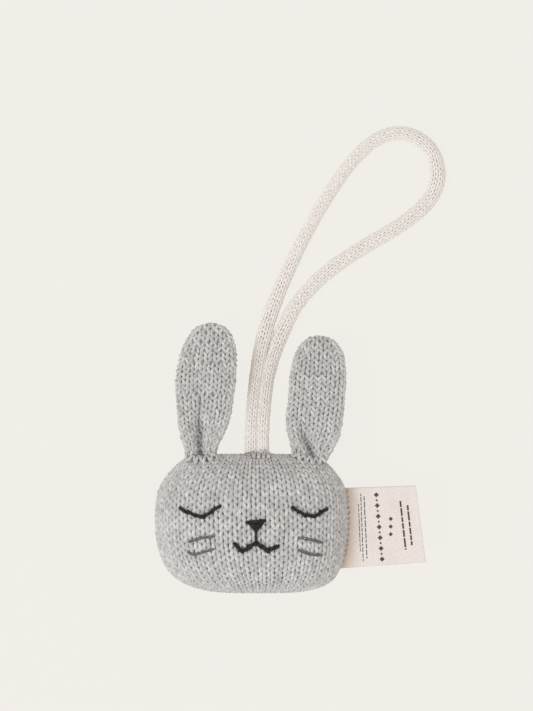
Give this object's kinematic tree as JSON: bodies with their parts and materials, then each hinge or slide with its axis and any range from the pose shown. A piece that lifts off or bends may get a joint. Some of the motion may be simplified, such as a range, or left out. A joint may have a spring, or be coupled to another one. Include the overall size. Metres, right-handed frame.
{
  "type": "stuffed bunny rabbit head rattle",
  "caption": "Small hand-knitted stuffed bunny head with floppy ears, an embroidered sleeping face, a knitted hanging loop, a folded side label and a rattle inside.",
  "frame": {"origin": "middle of the flattened patch on the back of the head that the toy rests on", "axes": "+X towards the side label, +Y from the chin to the ears and the loop, +Z out of the face"},
  "size_m": [0.1421, 0.2259, 0.0468],
  "materials": {
    "grey_knit": "heathered light-grey wool in stockinette knit",
    "cream_knit": "natural cream wool, knitted cord",
    "label_cotton": null,
    "dark_yarn": "charcoal wool embroidery yarn",
    "whisker_yarn": "dark-grey wool embroidery yarn",
    "sewing_thread": "matt sewing thread",
    "fibrefill": "white fibre filling",
    "rattle_plastic": "matt white plastic",
    "bead_plastic": "glossy coloured plastic"
  },
  "bodies": {
    "head": {"front_panel": "grey_knit", "back_panel": "grey_knit", "seam_yarn": "grey_knit", "stuffing": "fibrefill", "rattle_case_lower": "rattle_plastic", "rattle_case_upper": "rattle_plastic", "left_eye": "dark_yarn", "right_eye": "dark_yarn", "nose": "dark_yarn", "mouth": "dark_yarn", "left_upper_whisker": "whisker_yarn", "left_lower_whisker": "whisker_yarn", "right_upper_whisker": "whisker_yarn", "right_lower_whisker": "whisker_yarn", "left_ear_stitches": "grey_knit", "right_ear_stitches": "grey_knit", "cord_anchor_stitches": "grey_knit", "label_stitches": "sewing_thread"},
    "left_ear": {"left_ear": "grey_knit"},
    "right_ear": {"right_ear": "grey_knit"},
    "loop": {"hanging_cord": "cream_knit", "loop_stitches": "cream_knit"},
    "label": {"label": "label_cotton"},
    "bead_1": {"rattle_bead_1": "bead_plastic"},
    "bead_2": {"rattle_bead_2": "bead_plastic"},
    "bead_3": {"rattle_bead_3": "bead_plastic"}
  },
  "joints": [
    {"name": "left_ear_flop", "type": "hinge", "parent": "head", "child": "left_ear", "pos_m": [-0.0246, 0.0392, 0.024], "axis": [1, 0, 0], "range_deg": [-8, 105], "stiffness_Nm_per_rad": 0.03},
    {"name": "right_ear_flop", "type": "hinge", "parent": "head", "child": "right_ear", "pos_m": [0.0297, 0.0392, 0.024], "axis": [1, 0, 0], "range_deg": [-8, 105], "stiffness_Nm_per_rad": 0.03},
    {"name": "loop_swing", "type": "hinge", "parent": "head", "child": "loop", "pos_m": [0.0023, 0.0378, 0.0215], "axis": [1, 0, 0], "range_deg": [0, 95]},
    {"name": "label_fold", "type": "hinge", "parent": "head", "child": "label", "pos_m": [0.0492, 0, 0.022], "axis": [0, -1, 0], "range_deg": [-35, 80], "stiffness_Nm_per_rad": 0.006},
    {"name": "bead_1_rattle", "type": "slide", "parent": "head", "child": "bead_1", "axis": [0, 0, 1], "range_m": [0, 0.009]},
    {"name": "bead_2_rattle", "type": "slide", "parent": "head", "child": "bead_2", "axis": [0, 0, 1], "range_m": [0, 0.009]},
    {"name": "bead_3_rattle", "type": "slide", "parent": "head", "child": "bead_3", "axis": [0, 0, 1], "range_m": [0, 0.009]}
  ]
}
